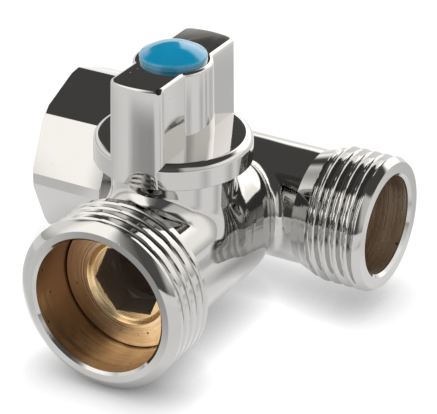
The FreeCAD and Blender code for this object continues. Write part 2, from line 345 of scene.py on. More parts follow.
def turned_brass(name, ring_place, dark, light, roughness, painted_side_share=0.0):
    """Bare machined brass, dulled by age: fine tool rings, brown tarnish in clouds and a few dark specks.

    It may be painted lighter towards the outlet's side and darker away from it: painted light and shade.
    """
    made = material(name)
    tree = made.node_tree
    place = node(tree, "ShaderNodeTexCoord").outputs["Object"]
    ring = ring_place(tree, place)
    rings = node(tree, "ShaderNodeTexNoise", {"W": ring, "Scale": 1 / (tool_ring * MM), "Detail": 5.0,
                                              "Roughness": 0.7}, noise_dimensions="1D")
    tarnish = node(tree, "ShaderNodeTexNoise", {"Vector": place, "Scale": 1 / (tarnish_width * MM),
                                                "Detail": 5.0})
    side = node(tree, "ShaderNodeSeparateXYZ", {"Vector": place}).outputs["X"]
    # Painted light and shade: lighter towards the outlet's side and darker away from it, for how the light falls
    # into the bore
    painted_side_light = node(tree, "ShaderNodeMapRange", {
        "Value": side, "From Min": (stem_x - branch_bore_r) * MM, "From Max": (stem_x + branch_bore_r) * MM,
        "To Min": -painted_side_share, "To Max": painted_side_share})
    shade = node(tree, "ShaderNodeMath", {0: rings, 1: tarnish}, operation="ADD")
    shade = node(tree, "ShaderNodeMath", {0: shade, 1: painted_side_light}, operation="ADD")
    tone = node(tree, "ShaderNodeMapRange", {"Value": shade, "From Min": 0.72, "From Max": 1.28})
    metal = node(tree, "ShaderNodeMix", {"Factor": tone, "A": colour(dark), "B": colour(light)},
                 data_type="RGBA")
    specks = node(tree, "ShaderNodeTexVoronoi", {"Vector": place, "Scale": 1 / (speck_spacing * MM)})
    clean = node(tree, "ShaderNodeMapRange", {"Value": specks, "From Min": 0.05, "From Max": 0.1})
    specked = node(tree, "ShaderNodeMix", {"Factor": clean, "A": colour("#30241a"), "B": metal},
                   data_type="RGBA")
    rough = node(tree, "ShaderNodeMapRange", {"Value": rings, "To Min": roughness - 0.12,
                                              "To Max": roughness + 0.12})
    fine = node(tree, "ShaderNodeTexNoise", {"W": ring, "Scale": 1 / (tool_groove * MM), "Detail": 2.0},
                noise_dimensions="1D")
    grooves = node(tree, "ShaderNodeBump", {"Height": fine, "Strength": 0.8,
                                            "Distance": tool_groove_depth * MM})
    return surface(made, Base_Color=specked, Metallic=1.0, Roughness=rough, Normal=grooves)


def along_axis(letter):
    """Tool rings that repeat along one axis of the part, as in a bore."""
    def ring(tree, place):
        return node(tree, "ShaderNodeSeparateXYZ", {"Vector": place}).outputs[letter]
    return ring


def round_branch(tree, place):
    """Tool rings that repeat with the distance from the branch's axis, as on a turned face."""
    centred = node(tree, "ShaderNodeMapping", {"Vector": place, "Location": (-stem_x * MM, 0, 0),
                                               "Scale": (1, 0, 1)})
    return node(tree, "ShaderNodeVectorMath", {0: centred}, operation="LENGTH")


def moulded(name, low, high, grain, roughness):
    """A dull moulded or cast material: an even colour with slight clouds and a fine grain."""
    made = material(name)
    tree = made.node_tree
    place = node(tree, "ShaderNodeTexCoord").outputs["Object"]
    clouds = node(tree, "ShaderNodeTexNoise", {"Vector": place, "Scale": 1 / (mould_cloud * MM),
                                               "Detail": 3.0})
    mix = node(tree, "ShaderNodeMix", {"Factor": clouds, "A": colour(low), "B": colour(high)},
               data_type="RGBA")
    specks = node(tree, "ShaderNodeTexNoise", {"Vector": place, "Scale": 1 / (grain * MM), "Detail": 2.0})
    bump = node(tree, "ShaderNodeBump", {"Height": specks, "Strength": 0.1,
                                         "Distance": mould_grain_depth * MM})
    return surface(made, Base_Color=mix, Roughness=roughness, Normal=bump)


def cap_plastic():
    """Glossy blue plastic that lets a little light through, with a painted glow that makes it paler at its thin
    edge.
    """
    made = material("plastic_moulded_blue")
    tree = made.node_tree
    place = node(tree, "ShaderNodeTexCoord").outputs["Object"]
    centred = node(tree, "ShaderNodeMapping", {"Vector": place, "Location": (-stem_x * MM, -stem_y * MM, 0),
                                               "Scale": (1, 1, 0)})
    outward = node(tree, "ShaderNodeVectorMath", {0: centred}, operation="LENGTH")
    # Painted light: paler towards the edge, standing in for light that shines through the thin plastic
    painted_rim_light = node(tree, "ShaderNodeMapRange", {"Value": outward, "From Min": cap_rim_light_from * MM,
                                            "From Max": cap_rim_light_to * MM, "To Min": 0.0, "To Max": 0.2},
               interpolation_type="SMOOTHSTEP")
    clouds = node(tree, "ShaderNodeTexNoise", {"Vector": place, "Scale": 1 / (cap_cloud * MM), "Detail": 2.0})
    deep = node(tree, "ShaderNodeMix", {"Factor": clouds, "A": colour("#0083ae"),
                                        "B": colour("#0692bd")}, data_type="RGBA")
    mix = node(tree, "ShaderNodeMix", {"Factor": painted_rim_light, "A": deep, "B": colour("#86d0ea")}, data_type="RGBA")
    return surface(made, Base_Color=mix, Roughness=0.12, Coat_Weight=0.4, Coat_Roughness=0.05)


def zinc_plate():
    """Dull zinc plate on a steel screw: grey, with a fine mottle."""
    made = material("zinc_plate_dull")
    tree = made.node_tree
    place = node(tree, "ShaderNodeTexCoord").outputs["Object"]
    mottle = node(tree, "ShaderNodeTexNoise", {"Vector": place, "Scale": 1 / (zinc_mottle * MM),
                                               "Detail": 3.0})
    rough = node(tree, "ShaderNodeMapRange", {"Value": mottle, "To Min": 0.25, "To Max": 0.5})
    return surface(made, Base_Color=colour("#c4c4bf"), Metallic=1.0, Roughness=rough)


chrome = chrome_plate()
blue_plastic = cap_plastic()
zinc = zinc_plate()
# Brown and golden by turns, in the branch's bore
# Painted light and shade in the bore: lighter towards the outlet's side, darker towards the inlet
bore_brass = turned_brass("brass_bored", along_axis("Y"), "#a78f79", "#ffe8c6", 0.36, 0.4)
# Greyer and duller, in the straight way that always carries water
run_brass = turned_brass("brass_bored_run", along_axis("X"), "#c0ad9b", "#eadccb", 0.42)
# Golden, with rings that run round, on the retainer's face
# Painted light and shade on the retainer's face: lighter towards the outlet's side, darker away from it
face_brass = turned_brass("brass_turned_face", round_branch, "#c09f7c", "#ffe9c4", 0.3, 0.4)
# Painted shade: grey and matt, on the walls of the deep key socket and of the ball's port
socket_shade_brass = turned_brass("brass_socket_painted_shade", along_axis("Y"), "#b8afa8", "#c8bfb8", 0.55)
# The brightest gold, where the countersink was cut last
bright_brass = turned_brass("brass_burnished", round_branch, "#d9b27c", "#ffe9bd", 0.25)
# Waxy white, and a grey filled grade that wears longer
white_ptfe = moulded("ptfe_skived", "#dedcd4", "#ecebe6", 0.3, 0.55)
dark_ptfe = moulded("ptfe_carbon_filled", "#7d7773", "#8a837e", 0.3, 0.5)
# Near black and dull
black_rubber = moulded("rubber_moulded", "#141414", "#1e1d1c", 0.2, 0.6)
# Dark casting skin, where the plate has chipped off
bare_zinc = moulded("zinc_casting_bare", "#1d1b1a", "#34302d", 0.2, 0.5)


# Meshes. Each starts as points in millimetres.

# Right handed cross directions of each axis that pieces are turned about, and the places they stand on
ALONG_RUN = (Vector((0, 1, 0)), Vector((0, 0, 1)), Vector((1, 0, 0)))
ALONG_BRANCH = (Vector((1, 0, 0)), Vector((0, 0, 1)), Vector((0, -1, 0)))
UPWARD = (Vector((1, 0, 0)), Vector((0, 1, 0)), Vector((0, 0, 1)))
INLET = Vector((0, 0, 0))
CROSSING = Vector((stem_x, 0, 0))
STEM = Vector((stem_x, stem_y, 0))


def solid(name, points, faces, finish):
    """A new object from points in millimetres, with one finish."""
    mesh = bpy.data.meshes.new(name)
    mesh.from_pydata((np.asarray(points, float) * MM).tolist(), [], faces)
    mesh.materials.append(finish)
    made = bpy.data.objects.new(name, mesh)
    bpy.context.scene.collection.objects.link(made)
    return made


def stand(made, base, axes):
    """Turns a piece that was made along +Z at the origin to its own axis and place."""
    across, beside, along = axes
    turn = Matrix((across, beside, along)).transposed().to_4x4()
    made.data.transform(Matrix.Translation(base * MM) @ turn)
    return made


def arc(centre, radius, start, end, steps):
    """Points of a round stretch of a profile, angles in degrees from the axis towards the radius."""
    angles = np.radians(np.linspace(start, end, steps + 1))
    return [(centre[0] + radius * math.cos(a), centre[1] + radius * math.sin(a)) for a in angles]


def divided(start, end, step):
    """Evenly spaced profile points between two points, both ends kept."""
    count = max(1, math.ceil(math.dist(start, end) / step))
    return [tuple(np.array(start) + (np.array(end) - np.array(start)) * k / count) for k in range(count + 1)]


def bulged(start, end, bulge, steps=10):
    """Points of a shallow outward arc between two points of a profile."""
    first, last = np.array(start), np.array(end)
    inward = np.array((last[1] - first[1], first[0] - last[0])) / math.dist(start, end)
    shares = np.linspace(0, 1, steps + 1)
    return [tuple(first + (last - first) * k - 4 * bulge * k * (1 - k) * inward) for k in shares]


def turned(name, profile, finish, segments=turn_segments):
    """A turned solid along +Z. The profile lists (distance along the axis, radius) from axis to axis."""
    angles = 2 * math.pi * np.arange(segments) / segments
    points, rings = [], []
    for along, radius in profile:
        first = len(points)
        if radius == 0:
            points.append((0, 0, along))
            rings.append([first] * segments)
        else:
            points.extend((radius * math.cos(a), radius * math.sin(a), along) for a in angles)
            rings.append(list(range(first, first + segments)))
    faces = []
    for low, high in zip(rings, rings[1:]):
        for k in range(segments):
            corners = [low[k], low[k - 1], high[k - 1], high[k]]
            faces.append([c for i, c in enumerate(corners) if c not in corners[:i]])
    return facing_out(solid(name, points, faces, finish))


def bar(name, bottom, top, radius, finish):
    """A plain round bar along +Z."""
    return turned(name, [(bottom, 0), (bottom, radius), (top, radius), (top, 0)], finish)


def prism(name, outline, bottom, top, finish):
    """A straight solid along +Z over a flat outline."""
    count = len(outline)
    points = [(x, y, z) for z in (bottom, top) for x, y in outline]
    faces = [list(range(count))[::-1], list(range(count, 2 * count))]
    faces += [[k, (k + 1) % count, (k + 1) % count + count, k + count] for k in range(count)]
    return facing_out(solid(name, points, faces, finish))


def regular(sides, flats, turn=0.0):
    """The corners of a regular outline of a given width across flats."""
    radius = flats / 2 / math.cos(math.pi / sides)
    angles = [math.radians(turn) + 2 * math.pi * k / sides for k in range(sides)]
    return [(radius * math.cos(a), radius * math.sin(a)) for a in angles]


def facing_out(made):
    """Turns every face of a closed solid outwards."""
    mesh = made.data
    volume = sum(p.center.dot(p.normal) * p.area for p in mesh.polygons)
    if volume < 0:
        mesh.flip_normals()
    return made


def settle(made):
    """Applies a piece's modifiers to its mesh."""
    old = made.data
    graph = bpy.context.evaluated_depsgraph_get()
    ready = made.evaluated_get(graph)
    made.data = bpy.data.meshes.new_from_object(ready, preserve_all_data_layers=True, depsgraph=graph)
    made.data.name = made.name
    made.modifiers.clear()
    bpy.data.meshes.remove(old)
    return made


def corner_values(mesh, name=None):
    """The normals at all face corners of a mesh, as it is shaded or as an attribute keeps them."""
    values = np.empty(len(mesh.loops) * 3, np.float32)
    source = mesh.attributes[name].data if name else mesh.corner_normals
    source.foreach_get("vector", values)
    return values


def remember_shading(made, crease=edge_crease, facing=1):
    """Keeps a piece's smooth shading as an attribute, so that cutting and joining can't disturb it."""
    mesh = made.data
    mesh.shade_smooth()
    mesh.set_sharp_from_angle(angle=math.radians(crease))
    kept = facing * corner_values(mesh)
    mesh.attributes.new("form_normal", "FLOAT_VECTOR", "CORNER").data.foreach_set("vector", kept)
    return made


def combine(made, tool, operation):
    """Joins a closed tool to a closed piece, cuts it out, or keeps what they share, and removes the tool."""
    step = made.modifiers.new(operation, "BOOLEAN")
    step.operation = operation
    step.object = tool
    step.solver = "MANIFOLD"
    step.material_mode = "TRANSFER"
    settle(made)
    bpy.data.objects.remove(tool)
    return made


def join(made, tool, base, axes, crease=edge_crease):
    """Stands a closed tool in its place and joins it to a piece."""
    return combine(made, remember_shading(stand(tool, base, axes), crease), "UNION")


def cut(made, tool, base, axes):
    """Stands a closed tool in its place and cuts it out of a piece."""
    return combine(made, remember_shading(stand(tool, base, axes), facing=-1), "DIFFERENCE")


def show_shading(made):
    """Gives a finished piece the shading that its parts had before they were joined."""
    mesh = made.data
    normals = corner_values(mesh, "form_normal").reshape(-1, 3)
    mesh.shade_smooth()
    mesh.normals_split_custom_set(normals / np.linalg.norm(normals, axis=1, keepdims=True))
    mesh.attributes.remove(mesh.attributes["form_normal"])
    return made


# Pipe threads: a rule that works on a turned blank


def thread_rule():
    """A node tree that cuts a right hand thread of rounded form into a blank that stands along +Z."""
    tree = bpy.data.node_groups.new("pipe_thread", "GeometryNodeTree")
    ends = tree.interface
    ends.new_socket("Geometry", in_out="INPUT", socket_type="NodeSocketGeometry")
    for name in ("Crest radius", "Depth", "Half pitch", "Root to", "Crest from", "Groove at", "Fades from",
                 "Plain from"):
        ends.new_socket(name, in_out="INPUT", socket_type="NodeSocketFloat")
    ends.new_socket("Finish", in_out="INPUT", socket_type="NodeSocketMaterial")
    ends.new_socket("Geometry", in_out="OUTPUT", socket_type="NodeSocketGeometry")
    given = node(tree, "NodeGroupInput").outputs
    place = node(tree, "GeometryNodeInputPosition")
    x, y, along = node(tree, "ShaderNodeSeparateXYZ", {"Vector": place}).outputs
    flat = node(tree, "ShaderNodeCombineXYZ", {"X": x, "Y": y})
    radius = node(tree, "ShaderNodeVectorMath", {0: flat}, operation="LENGTH")

    # Half pitches from the middle of a groove, which the half turns round the axis carry along
    angle = node(tree, "ShaderNodeMath", {0: y, 1: x}, operation="ARCTAN2")
    half_turns = node(tree, "ShaderNodeMath", {0: angle, 1: math.pi}, operation="DIVIDE")
    past = node(tree, "ShaderNodeMath", {0: along, 1: given["Groove at"]}, operation="SUBTRACT")
    steps = node(tree, "ShaderNodeMath", {0: past, 1: given["Half pitch"]}, operation="DIVIDE")
    steps = node(tree, "ShaderNodeMath", {0: steps, 1: half_turns}, operation="SUBTRACT")
    ridge = node(tree, "ShaderNodeMath", {0: steps, 1: 1.0}, operation="PINGPONG")

    # The groove is full at its root, gone at the crest, and runs out before the plain ring at the face
    groove = node(tree, "ShaderNodeMapRange", {
        "Value": ridge, "From Min": given["Root to"], "From Max": given["Crest from"], "To Min": 1.0,
        "To Max": 0.0}, interpolation_type="SMOOTHSTEP")
    depth = node(tree, "ShaderNodeMapRange", {
        "Value": along, "From Min": given["Fades from"], "From Max": given["Plain from"],
        "To Min": given["Depth"], "To Max": 0.0})
    removed = node(tree, "ShaderNodeMath", {0: groove, 1: depth}, operation="MULTIPLY")
    left = node(tree, "ShaderNodeMath", {0: given["Crest radius"], 1: removed}, operation="SUBTRACT")
    wanted = node(tree, "ShaderNodeMath", {0: radius, 1: left}, operation="MINIMUM")
    ratio = node(tree, "ShaderNodeMath", {0: wanted, 1: radius}, operation="DIVIDE")
    pull = node(tree, "ShaderNodeCombineXYZ", {"X": ratio, "Y": ratio, "Z": 1.0})
    moved = node(tree, "ShaderNodeVectorMath", {0: place, 1: pull}, operation="MULTIPLY")
    shaped = node(tree, "GeometryNodeSetPosition", {"Geometry": given["Geometry"], "Position": moved})
    real = node(tree, "GeometryNodeRealizeInstances", {"Geometry": shaped})
    dressed = node(tree, "GeometryNodeSetMaterial", {"Geometry": real, "Material": given["Finish"]})
    node(tree, "NodeGroupOutput", {"Geometry": dressed})
    return tree


pipe_thread = thread_rule()


def cut_thread(blank, form, crest_r, groove_at, plain_from, finish):
    """Applies the thread rule to a blank. The thread runs out over a quarter of a pitch."""
    rule = blank.modifiers.new("thread", "NODES")
    rule.node_group = pipe_thread
    values = {"Crest radius": crest_r * MM, "Half pitch": thread_pitch / 2 * MM, "Groove at": groove_at * MM,
              "Fades from": (plain_from - thread_pitch / 4) * MM, "Plain from": plain_from * MM,
              "Finish": finish, **form}
    for item in pipe_thread.interface.items_tree:
        if item.in_out == "INPUT" and item.name in values:
            rule[item.identifier] = values[item.name]
    return settle(blank)


def male_end(name, form, crest_r, groove_at, pipe_r, start, reach, taper, face_r, face_bevel, bulge,
             plain_ring):
    """A male pipe thread with its taper behind and its bevelled face, along +Z."""
    slant = taper / (crest_r - pipe_r)
    start = start - taper_sunk * slant
    back = divided((start, pipe_r - taper_sunk), (start + taper + taper_sunk * slant, crest_r), thread_step)
    crest = divided(back[-1], (reach - face_bevel, crest_r), thread_step)
    bevel = bulged((reach - face_bevel, crest_r), (reach, face_r), bulge)
    profile = [(start, 0)] + back + crest[1:] + bevel[1:] + [(reach, 0)]
    blank = turned(name, profile, chrome)
    return cut_thread(blank, form, crest_r, groove_at, reach - plain_ring, chrome)


def tapped_socket():
    """The tool that leaves the inlet's female thread, along +Z."""
    thread_end = socket_depth - thread_pitch
    crest = divided((-overrun, half_inch_crest_r), (thread_end, half_inch_crest_r), tap_step)
    profile = [(-overrun, 0)] + crest
    profile += [(socket_depth - thread_pitch / 2, inlet_thread_r), (socket_depth, inlet_thread_r),
                (socket_depth, 0)]
    blank = turned("inlet_tap", profile, run_brass, tap_segments)
    return cut_thread(blank, half_inch_form, half_inch_crest_r, 0.0, socket_depth, run_brass)


# Valve body


def polish_waves(p):
    """The shallow unevenness that hand polishing leaves, its waves mixed so that they don't repeat."""
    k = 2 * math.pi / polish_wave_length
    x, y, z = p[..., 0] * k, p[..., 1] * k, p[..., 2] * k
    return polish_wave_height * (np.sin(x + 0.7 * np.sin(1.3 * y)) * np.cos(0.8 * z + 0.4)
                                 + np.sin(1.1 * y + 0.9 * z + 1.7) * np.cos(0.9 * x + 0.5 * y))


def blended(first, second, radius, lean):
    """Two distance fields joined with a round blend, which shrinks where the surfaces lean the same way."""
    radius = radius * (1 - lean)
    u = np.maximum(radius - first, 0)
    v = np.maximum(radius - second, 0)
    return np.maximum(radius, np.minimum(first, second)) - np.hypot(u, v)


def forging(p):
    """Distance from the forged tee's surface, negative inside: run, branch with a round back, and neck."""
    x, y, z = p[..., 0] - stem_x, p[..., 1], p[..., 2]
    run_r = np.hypot(y, z) + tiny
    back = np.maximum(y + branch_round, 0)
    squared = (np.abs(x) ** branch_squareness + np.abs(z) ** branch_squareness) ** (1 / branch_squareness)
    branch_r = np.hypot(np.where(z > 0, squared, np.hypot(x, z)), back) + tiny
    neck_out = np.hypot(x, y - stem_y) + tiny
    run_end = outlet_face - stem_x - outlet_length + outlet_lap
    run_ends = np.maximum(octagon_length / 2 - stem_x - x, x - run_end)
    run = np.maximum(run_r - run_pipe_r, run_ends)
    branch_end = -y - (branch_face - branch_thread_length - branch_lap)
    branch = np.maximum(branch_r - branch_pipe_r, branch_end)
    neck = np.maximum(neck_out - neck_r, np.maximum(-z, z - neck_top - neck_r / 2))
    tee = blended(run, branch, tee_blend_r, np.clip((back * y + z * z) / (run_r * branch_r), 0, tee_lean))
    joined = blended(tee, neck, neck_blend_r, np.clip(x * x / (branch_r * neck_out), 0, neck_lean))
    return joined + polish_waves(p)


def slope(field, p, step=0.01):
    """The unit direction in which a field grows fastest."""
    parts = [field(p + step * axis) - field(p - step * axis) for axis in np.eye(3)]
    way = np.stack(parts, -1)
    return way / np.maximum(np.linalg.norm(way, axis=-1, keepdims=True), tiny)


def skin(field, low, high, step):
    """Points and four sided faces on the zero surface of a field, one point in each cell that it crosses."""
    counts = np.ceil((high - low) / step).astype(int) + 1
    places = [low[k] + step * np.arange(counts[k]) for k in range(3)]
    inside = field(np.stack(np.meshgrid(*places, indexing="ij"), -1)) < 0
    ends = [slice(0, -1), slice(1, None)]
    corners = [inside[a, b, c].astype(int) for a in ends for b in ends for c in ends]
    total = sum(corners)
    crossed = (total > 0) & (total < len(corners))
    number = np.full(crossed.shape, -1)
    number[crossed] = np.arange(crossed.sum())
    points = low + step * (np.argwhere(crossed) + 0.5)
    for _ in range(forging_rounds):
        points = points - field(points)[:, None] * slope(field, points)
    faces = []
    for axis in range(3):
        beside, across = np.eye(3, dtype=int)[(axis + 1) % 3], np.eye(3, dtype=int)[(axis + 2) % 3]
        before = np.take(inside, range(counts[axis] - 1), axis)
        after = np.take(inside, range(1, counts[axis]), axis)
        edges = np.argwhere(before != after)
        round_edge = [edges, edges - beside, edges - beside - across, edges - across]
        quads = np.stack([number[tuple(cell.T)] for cell in round_edge], -1)
        leaving = before[tuple(edges.T)]
        faces.extend(np.where(leaving[:, None], quads, quads[:, ::-1]).tolist())
    return points, faces


def forged_core():
    """The smooth forged tee between its machined ends."""
    low = np.array([octagon_length / 2 - forging_margin, branch_thread_length - branch_face,
                    -branch_pipe_r - forging_margin])
    high = np.array([outlet_face - outlet_length + 2 * forging_margin, branch_pipe_r + forging_margin,
                     neck_top + neck_r / 2 + forging_margin])
    points, faces = skin(forging, low, high, forging_step)
    core = solid("forged_core", points, faces, chrome)
    mesh = core.data
    mesh.shade_smooth()
    ways = slope(forging, points).astype(np.float32)
    corners = np.empty(len(mesh.loops), int)
    mesh.loops.foreach_get("vertex_index", corners)
    kept = mesh.attributes.new("form_normal", "FLOAT_VECTOR", "CORNER")
    kept.data.foreach_set("vector", ways[corners].ravel())
    return core


def octagonal_inlet():
    """The octagonal end with a corner up, its side corners trimmed at the parting line, its edges eased."""
    corner_r = octagon_flats / 2 / math.cos(math.pi / 8)
    trim = corner_r - parting_trim
    trim_half = parting_trim / math.tan(math.pi / 8)
    outline = []
    for y, z in regular(8, octagon_flats):
        if abs(z) < tiny:
            sign = math.copysign(1, y)
            outline += [(sign * trim, -sign * trim_half), (sign * trim, sign * trim_half)]
        else:
            outline.append((y, z))
    block = prism("octagonal_inlet", outline, -overrun, octagon_length + overrun, chrome)
    easing = stand(block, INLET, ALONG_RUN).modifiers.new("eased edges", "BEVEL")
    easing.width = octagon_edge_r * MM
    easing.segments = octagon_edge_steps
    remember_shading(settle(block), octagon_crease)
    end = octagon_length
    blank = [(0, 0), (0, octagon_face_r), (octagon_bevel, corner_r), (end - octagon_bevel, corner_r),
             (end, octagon_face_r), (end, 0)]
    ends = stand(turned("inlet_bevels", blank, chrome), INLET, ALONG_RUN)
    return combine(block, remember_shading(ends), "INTERSECT")


def stop_lug():
    """The lug on the neck that stops the handle: a part of a ring round the stem."""
    turns = np.linspace(-stop_lug_half_angle, stop_lug_half_angle, stop_lug_steps + 1)
    angles = np.radians(stop_lug_angle + turns)
    inner, outer = ([(r * math.cos(a), r * math.sin(a)) for a in angles] for r in stop_lug_radii)
    return prism("stop_lug", inner + outer[::-1], neck_top - overrun, neck_top + stop_lug_rise, chrome)


def join_ends(body):
    """Joins the octagonal inlet and the two male ends to the forged core."""
    combine(body, octagonal_inlet(), "UNION")
    outlet = male_end(
        "run_outlet", half_inch_form, half_inch_crest_r, outlet_groove, run_pipe_r,
        start=outlet_face - outlet_length - stem_x, reach=outlet_face - stem_x, taper=outlet_back_taper,
        face_r=outlet_face_r, face_bevel=outlet_face_bevel, bulge=outlet_bevel_bulge,
        plain_ring=outlet_plain_ring)
    join(body, outlet, CROSSING, ALONG_RUN, thread_crease)
    branch = male_end(
        "branch_outlet", three_quarter_form, three_quarter_crest_r, branch_groove, branch_pipe_r,
        start=branch_face - branch_thread_length - branch_back_taper, reach=branch_face,
        taper=branch_back_taper, face_r=branch_face_r, face_bevel=branch_face_bevel, bulge=branch_bevel_bulge,
        plain_ring=branch_plain_ring)
    join(body, branch, CROSSING, ALONG_BRANCH, thread_crease)


def finish_neck(body):
    """Faces the neck off, and stands the bonnet and the stop lug on it."""
    cut(body, bar("neck_facing", neck_top, neck_top + neck_r, 2 * neck_r, chrome), STEM, UPWARD)
    join(body, bar("bonnet", neck_top - overrun, neck_top + bonnet_rise, bonnet_r, chrome), STEM, UPWARD)
    join(body, stop_lug(), STEM, UPWARD)


def cut_bores(body):
    """Cuts the bores, which are bare brass, and the bevels at their mouths, which are plated."""
    cut(body, tapped_socket(), INLET, ALONG_RUN)
    run_way = bar("run_way", socket_depth - overrun, outlet_face + overrun, run_bore_r, run_brass)
    cut(body, run_way, INLET, ALONG_RUN)
    chamber = -stem_y - seat_reach
    retainer_start = seat_reach - stem_y
    ledge = retainer_start + retainer_length - retainer_head_length
    shank_r = retainer_shank_r + retainer_clearance
    mouth = branch_face + overrun
    branch_way = turned("branch_way", [
        (0, 0), (0, port_r), (chamber, port_r), (chamber, chamber_r), (retainer_start, chamber_r),
        (retainer_start, shank_r), (ledge, shank_r), (ledge, branch_bore_r), (mouth, branch_bore_r),
        (mouth, 0)], bore_brass)
    cut(body, branch_way, CROSSING, ALONG_BRANCH)
    bonnet_end = neck_top + bonnet_rise + overrun
    stem_way = turned("stem_way", [
        (0, 0), (0, collar_hole_r), (collar_hole_top, collar_hole_r), (collar_hole_top, stem_hole_r),
        (bonnet_end, stem_hole_r), (bonnet_end, 0)], bore_brass)
    cut(body, stem_way, STEM, UPWARD)
    for radius, bevel, reach, base, axes in (
            (run_bore_r, outlet_bore_bevel, outlet_face, INLET, ALONG_RUN),
            (branch_bore_r, branch_bore_bevel, branch_face, CROSSING, ALONG_BRANCH)):
        end = reach + overrun
        cone = turned("mouth_bevel", [(reach - bevel, 0), (reach - bevel, radius),
                                      (end, radius + bevel + overrun), (end, 0)], chrome)
        cut(body, cone, base, axes)


def valve_body():
    """The body: forged tee, octagonal inlet, two male ends, and all its bores."""
    body = forged_core()
    join_ends(body)
    finish_neck(body)
    cut_bores(body)
    body.name = "forged_tee_body"
    return show_shading(body)


# Pieces in the branch


def seat_retainer():
    """The turned brass ring with its hexagonal key socket."""
    start = seat_reach
    end = seat_reach + retainer_length
    ledge = end - retainer_head_length
    ring = turned("seat_retainer_ring", [
        (start, 0), (start, retainer_shank_r), (ledge, retainer_shank_r), (ledge, retainer_head_r),
        (end - retainer_edge, retainer_head_r), (end, retainer_head_r - retainer_edge), (end, 0)], face_brass)
    remember_shading(stand(ring, STEM, ALONG_BRANCH))
    hexagon = regular(key_sides, key_flats, key_turn)
    cut(ring, prism("key_socket", hexagon, start - overrun, end + overrun, socket_shade_brass), STEM, ALONG_BRANCH)
    sink = turned("key_countersink", [
        (end - key_countersink, 0), (end - key_countersink, key_countersink_r - key_countersink),
        (end + overrun, key_countersink_r + overrun), (end + overrun, 0)], bright_brass)
    cut(ring, sink, STEM, ALONG_BRANCH)
    return show_shading(ring)


def valve_ball():
    """The plated ball, with its port and the slot for the stem."""
    sphere = arc((0, 0), ball_r, 180 - ball_pole_angle, ball_pole_angle, ball_steps)
    ball = turned("valve_ball", [(-ball_r, 0)] + sphere + [(ball_r, 0)], chrome)
    remember_shading(stand(ball, STEM, UPWARD))
    cut(ball, bar("port", -2 * ball_r, 2 * ball_r, port_r, socket_shade_brass), STEM, ALONG_BRANCH)
    half = slot_width / 2
    outline = [(-ball_r, -half), (ball_r, -half), (ball_r, half), (-ball_r, half)]
    cut(ball, prism("slot", outline, slot_floor, 2 * ball_r, chrome), STEM, UPWARD)
    return show_shading(ball)


# Handle


def grip_outline(half_width, end_r, middle_r, corner_r, inner_r):
    """The grip seen from above: a bar with rounded ends across a round core, corners rounded both ways."""
    corner = (half_width - corner_r, math.sqrt((end_r - corner_r) ** 2 - (half_width - corner_r) ** 2))
    inner = (half_width + inner_r, math.sqrt((middle_r + inner_r) ** 2 - (half_width + inner_r) ** 2))
    tip = math.degrees(math.atan2(corner[1], corner[0]))
    waist = math.degrees(math.atan2(inner[1], inner[0]))
    quarter = arc((0, 0), middle_r, 0, waist, edge_steps)
    quarter += arc(inner, inner_r, 180 + waist, 180, edge_steps)
    quarter += arc(corner, corner_r, 0, tip, edge_steps)
    quarter += arc((0, 0), end_r, tip, 90, 2 * edge_steps)[1:]
    half = quarter + [(-x, y) for x, y in quarter[-2::-1]]
    return half + [(x, -y) for x, y in half[-2:0:-1]]


def grip():
    """The bar and core above the flange, with draft and a rounded top edge."""
    levels = [(grip_foot, 0.0)]
    for turn in np.radians(np.linspace(0, 90, grip_edge_steps + 1)):
        levels.append((grip_top - grip_edge_r * (1 - math.sin(turn)), grip_edge_r * (1 - math.cos(turn))))
    points, count = [], 0
    for height, inset in levels:
        share = (height - ceiling) / (grip_top - ceiling)
        half_width, end_r, middle_r = (low + (high - low) * share - inset
                                       for low, high in (grip_half_width, grip_end_r, core_r))
        outline = grip_outline(half_width, end_r, middle_r, grip_corner_r - inset, core_corner_r + inset)
        count = len(outline)
        points += [(x, y, height) for x, y in outline]
    faces = [list(range(count))[::-1], list(range(len(points) - count, len(points)))]
    for row in range(len(levels) - 1):
        first = row * count
        faces += [[first + k, first + (k + 1) % count, first + count + (k + 1) % count, first + count + k]
                  for k in range(count)]
    return facing_out(solid("grip", points, faces, chrome))


def handle():
    """The cast handle: round flange with a hollow skirt, the grip on it, and a chip in its plate."""
    edge = arc((flange_top - flange_edge_r, flange_r - flange_edge_r), flange_edge_r, 90, 0, edge_steps)
    flange = turned("cast_handle", [(flange_bottom, 0), (flange_bottom, flange_r - flange_bevel),
                                    (flange_bottom + flange_bevel, flange_r)] + edge + [(flange_top, 0)],
                    chrome)
    remember_shading(stand(flange, STEM, UPWARD))
    join(flange, grip(), STEM, UPWARD)
    cut(flange, bar("skirt_hollow", flange_bottom - overrun, ceiling, skirt_r, chrome), STEM, UPWARD)
    cut(flange, bar("cap_recess", cap_recess_floor, grip_top + overrun, cap_recess_r, chrome), STEM, UPWARD)
    facets = arc((0, 0), chip_r, 180 - chip_end_angle, chip_end_angle, 2)
    chip = turned("chip", [(-chip_r, 0)] + facets + [(chip_r, 0)], bare_zinc, chip_sides)
    cut(flange, chip, STEM + Vector(chip_place), UPWARD)
    return show_shading(flange)


def index_cap():
    """The blue cap: a low dome with a round edge, and the plug that holds it."""
    foot = grip_top
    dome_r = cap_rim_r - cap_edge_r
    rise = cap_crown - cap_rim_height - cap_edge_r
    sphere_r = (dome_r ** 2 + rise ** 2) / (2 * rise)
    open_angle = math.degrees(math.asin(dome_r / sphere_r))
    edge = arc((foot + cap_rim_height, dome_r), cap_edge_r, 90, open_angle, cap_edge_steps)
    dome = arc((foot + cap_crown - sphere_r, 0), sphere_r, open_angle * dome_start_share, dome_pole_angle,
               dome_steps)
    profile = [(foot - cap_plug_depth, 0), (foot - cap_plug_depth, cap_plug_r), (foot, cap_plug_r),
               (foot, cap_rim_r)]
    cap = turned("blue_index_cap", profile + edge + dome + [(foot + cap_crown, 0)], blue_plastic)
    return show_shading(remember_shading(stand(cap, STEM, UPWARD)))


# Put the pieces on their bodies, and give the CAD parts that stay their finish

